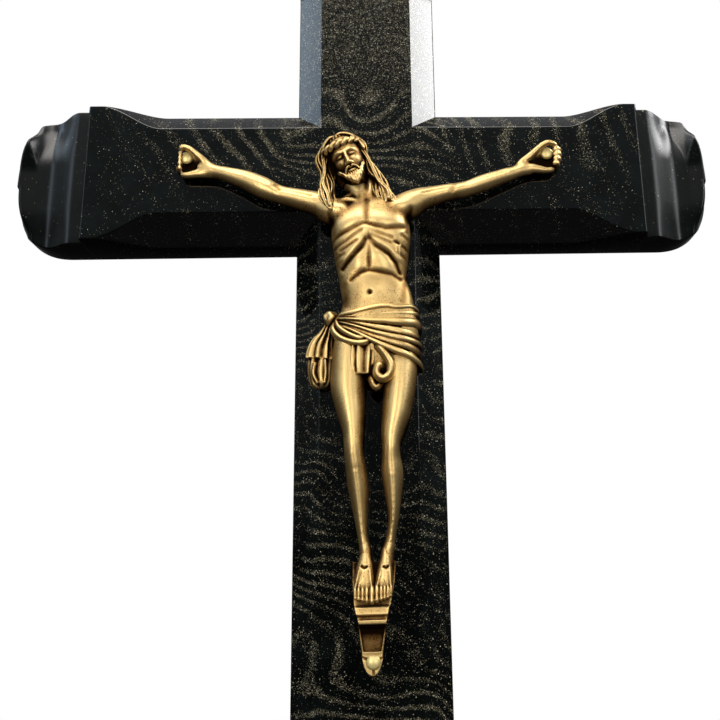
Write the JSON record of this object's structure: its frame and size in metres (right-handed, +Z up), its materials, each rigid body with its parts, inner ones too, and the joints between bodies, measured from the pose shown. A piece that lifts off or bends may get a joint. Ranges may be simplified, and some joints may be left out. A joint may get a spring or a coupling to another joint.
{
  "type": "grave cross",
  "caption": "Polished dark granite Latin cross with chamfered front edges and carved arm ends, carrying a nailed bronze crucifix figure.",
  "frame": {"origin": "middle of the flat base of the shaft", "axes": "+Z up the shaft, -Y out of the front that carries the figure, +X to the viewer's right"},
  "size_m": [0.6, 0.0913, 1],
  "materials": {
    "granite": "polished, dark with gold-coloured flecks",
    "bronze": "antique satin with dark recesses",
    "nail_brass": "pale satin"
  },
  "bodies": {
    "root": {"stone_cross": "granite", "bronze_corpus": "bronze", "nail_left_hand": "nail_brass", "nail_right_hand": "nail_brass", "nail_foot": "nail_brass"}
  },
  "joints": []
}
